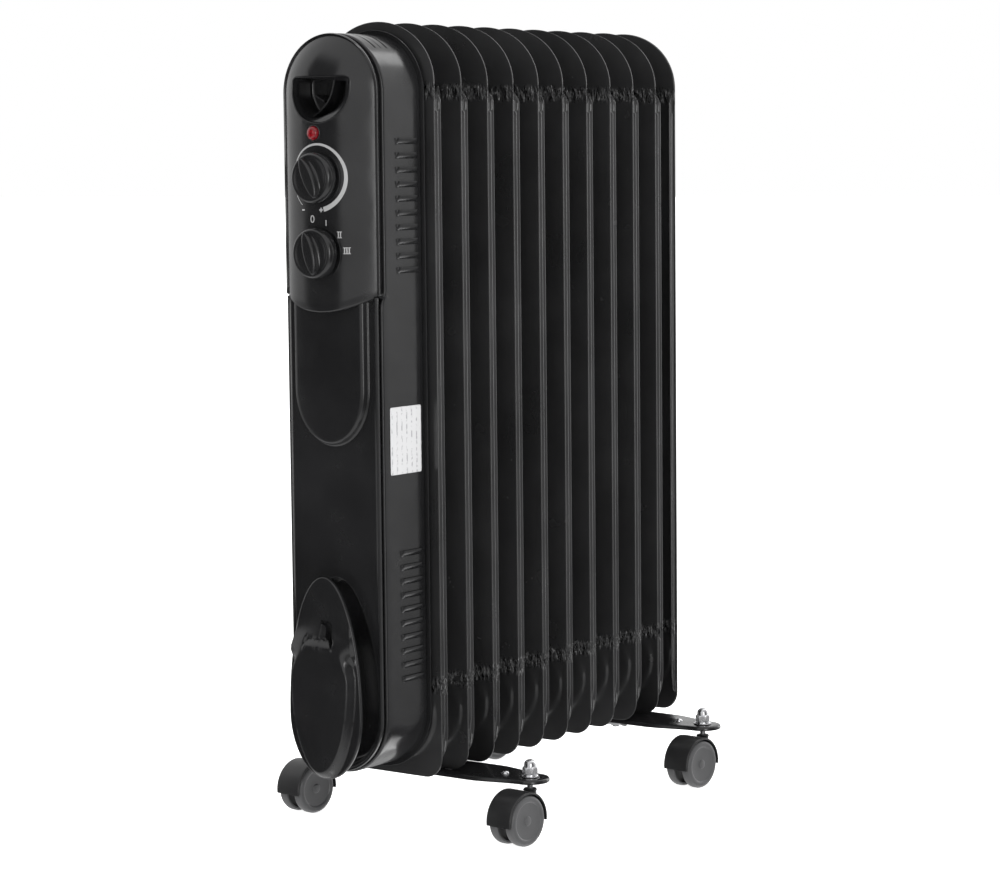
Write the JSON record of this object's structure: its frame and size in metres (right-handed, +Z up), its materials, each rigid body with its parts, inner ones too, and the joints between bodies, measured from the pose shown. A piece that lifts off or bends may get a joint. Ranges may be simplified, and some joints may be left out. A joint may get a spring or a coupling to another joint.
{
  "type": "oil filled radiator heater",
  "caption": "Upright oil filled radiator heater: a row of thin arched steel fins behind a narrow control box with two knobs, a hand pocket and a cord winder, on twin-wheel casters.",
  "frame": {"origin": "centre of the bounding box on the floor plane, midway between the end fins and the knobs and midway between the casters", "axes": "+Z up; -Y towards the control panel, +Y towards the last fin; +X to the right of someone who faces the control panel"},
  "size_m": [0.242, 0.4342, 0.635],
  "materials": {
    "black_enamel": "gloss black baked enamel",
    "black_gloss_plastic": "polished black moulded plastic",
    "black_satin_plastic": "satin black plastic",
    "caster_black": "fine-textured black nylon",
    "caster_grey": "satin dark grey nylon",
    "chrome": "bright nickel-chrome plate",
    "zinc_steel": "zinc plated steel",
    "red_lens": "clear red acrylic",
    "label_film": "silver-white printed film"
  },
  "bodies": {
    "radiator": {"fin_01": "black_enamel", "fin_02": "black_enamel", "fin_03": "black_enamel", "fin_04": "black_enamel", "fin_05": "black_enamel", "fin_06": "black_enamel", "fin_07": "black_enamel", "fin_08": "black_enamel", "fin_09": "black_enamel", "fin_10": "black_enamel", "fin_11": "black_enamel", "header_lower": "black_enamel", "header_upper": "black_enamel", "control_housing": "black_enamel", "heat_shield": "black_enamel", "foot_plate_front": "black_enamel", "foot_plate_rear": "black_enamel", "upper_cover": "black_gloss_plastic", "lower_panel": "black_gloss_plastic", "cord_winder": "black_gloss_plastic", "cord_gland": "black_satin_plastic", "power_switch": "black_satin_plastic", "heating_element": "zinc_steel", "oil_filler_plug": "zinc_steel", "thermostat": "zinc_steel", "thermal_cutout": "zinc_steel", "u_bolt_front": "zinc_steel", "u_bolt_rear": "zinc_steel", "wing_nut_front_left": "zinc_steel", "caster_stem_front_left": "zinc_steel", "cap_nut_front_left": "chrome", "wing_nut_front_right": "zinc_steel", "caster_stem_front_right": "zinc_steel", "cap_nut_front_right": "chrome", "wing_nut_rear_left": "zinc_steel", "caster_stem_rear_left": "zinc_steel", "cap_nut_rear_left": "chrome", "wing_nut_rear_right": "zinc_steel", "caster_stem_rear_right": "zinc_steel", "cap_nut_rear_right": "chrome", "pilot_lamp": "red_lens", "rating_plate": "label_film"},
    "thermostat_knob": {"thermostat_knob": "black_gloss_plastic"},
    "power_knob": {"power_knob": "black_gloss_plastic"},
    "caster_front_left": {"caster_hood_front_left": "caster_black"},
    "wheels_front_left": {"caster_axle_front_left": "zinc_steel", "caster_wheel_front_left_inner": "caster_grey", "caster_wheel_front_left_outer": "caster_grey"},
    "caster_front_right": {"caster_hood_front_right": "caster_black"},
    "wheels_front_right": {"caster_axle_front_right": "zinc_steel", "caster_wheel_front_right_inner": "caster_grey", "caster_wheel_front_right_outer": "caster_grey"},
    "caster_rear_left": {"caster_hood_rear_left": "caster_black"},
    "wheels_rear_left": {"caster_axle_rear_left": "zinc_steel", "caster_wheel_rear_left_inner": "caster_grey", "caster_wheel_rear_left_outer": "caster_grey"},
    "caster_rear_right": {"caster_hood_rear_right": "caster_black"},
    "wheels_rear_right": {"caster_axle_rear_right": "zinc_steel", "caster_wheel_rear_right_inner": "caster_grey", "caster_wheel_rear_right_outer": "caster_grey"}
  },
  "joints": [
    {"name": "thermostat_turn", "type": "hinge", "parent": "radiator", "child": "thermostat_knob", "pos_m": [0, -0.2039, 0.5165], "axis": [0, 1, 0], "range_deg": [-115, 190]},
    {"name": "power_turn", "type": "hinge", "parent": "radiator", "child": "power_knob", "pos_m": [0, -0.2039, 0.46], "axis": [0, 1, 0], "range_deg": [0, 100]},
    {"name": "swivel_front_left", "type": "hinge", "parent": "radiator", "child": "caster_front_left", "pos_m": [-0.1057, -0.0842, 0.042], "axis": [0, 0, 1], "continuous": true},
    {"name": "roll_front_left", "type": "hinge", "parent": "caster_front_left", "child": "wheels_front_left", "pos_m": [-0.10701, -0.10045, 0.02], "axis": [0.9968, -0.0802, 0], "continuous": true},
    {"name": "swivel_front_right", "type": "hinge", "parent": "radiator", "child": "caster_front_right", "pos_m": [0.1057, -0.0842, 0.042], "axis": [0, 0, 1], "continuous": true},
    {"name": "roll_front_right", "type": "hinge", "parent": "caster_front_right", "child": "wheels_front_right", "pos_m": [0.10439, -0.10045, 0.02], "axis": [0.9968, -0.0802, 0], "continuous": true},
    {"name": "swivel_rear_left", "type": "hinge", "parent": "radiator", "child": "caster_rear_left", "pos_m": [-0.1057, 0.1684, 0.042], "axis": [0, 0, 1], "continuous": true},
    {"name": "roll_rear_left", "type": "hinge", "parent": "caster_rear_left", "child": "wheels_rear_left", "pos_m": [-0.10701, 0.15215, 0.02], "axis": [0.9968, -0.0802, 0], "continuous": true},
    {"name": "swivel_rear_right", "type": "hinge", "parent": "radiator", "child": "caster_rear_right", "pos_m": [0.1057, 0.1684, 0.042], "axis": [0, 0, 1], "continuous": true},
    {"name": "roll_rear_right", "type": "hinge", "parent": "caster_rear_right", "child": "wheels_rear_right", "pos_m": [0.10439, 0.15215, 0.02], "axis": [0.9968, -0.0802, 0], "continuous": true}
  ]
}
